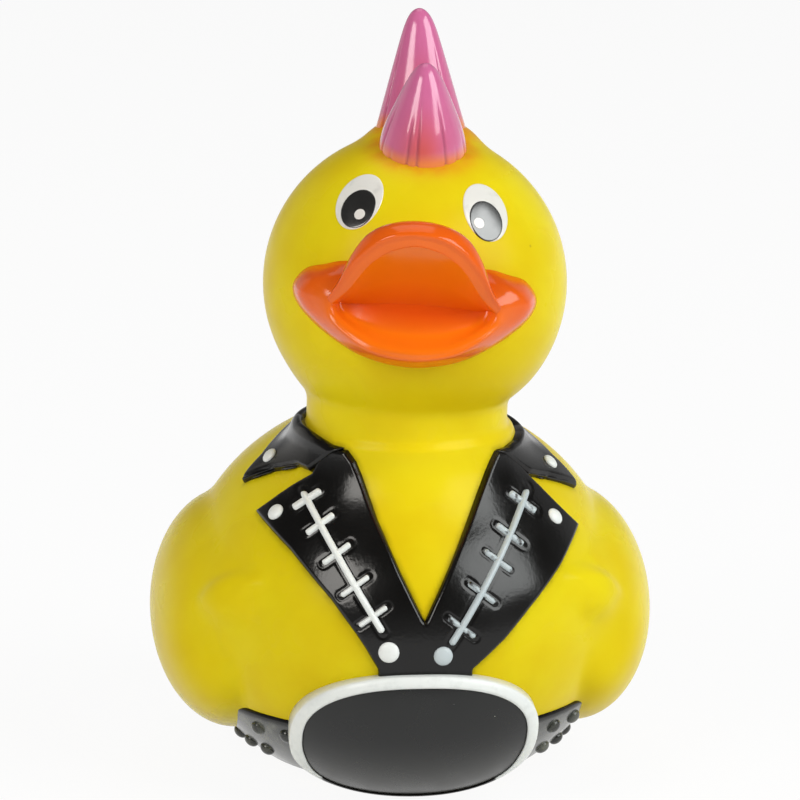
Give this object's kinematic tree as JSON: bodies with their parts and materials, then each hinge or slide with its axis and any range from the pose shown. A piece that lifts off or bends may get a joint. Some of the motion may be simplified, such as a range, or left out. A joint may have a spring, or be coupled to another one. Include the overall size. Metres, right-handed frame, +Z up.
{
  "type": "rubber duck",
  "caption": "Hollow vinyl toy duck with an open bill, a spiked crest, a studded jacket collar and a belt with an oval buckle, standing on a flat base.",
  "frame": {"origin": "middle of the flat base that the duck stands on", "axes": "+Z up, the duck faces -Y, +X to the right of a viewer who looks at its face"},
  "size_m": [0.0714, 0.0819, 0.1077],
  "materials": {
    "yellow_vinyl": "satin soft vinyl",
    "orange_paint": "sprayed gloss paint",
    "pink_paint": "sprayed gloss paint",
    "black_paint": "brushed gloss paint",
    "grey_paint": "satin paint",
    "white_paint": "satin paint"
  },
  "bodies": {
    "root": {"duck": "yellow_vinyl"}
  },
  "joints": []
}
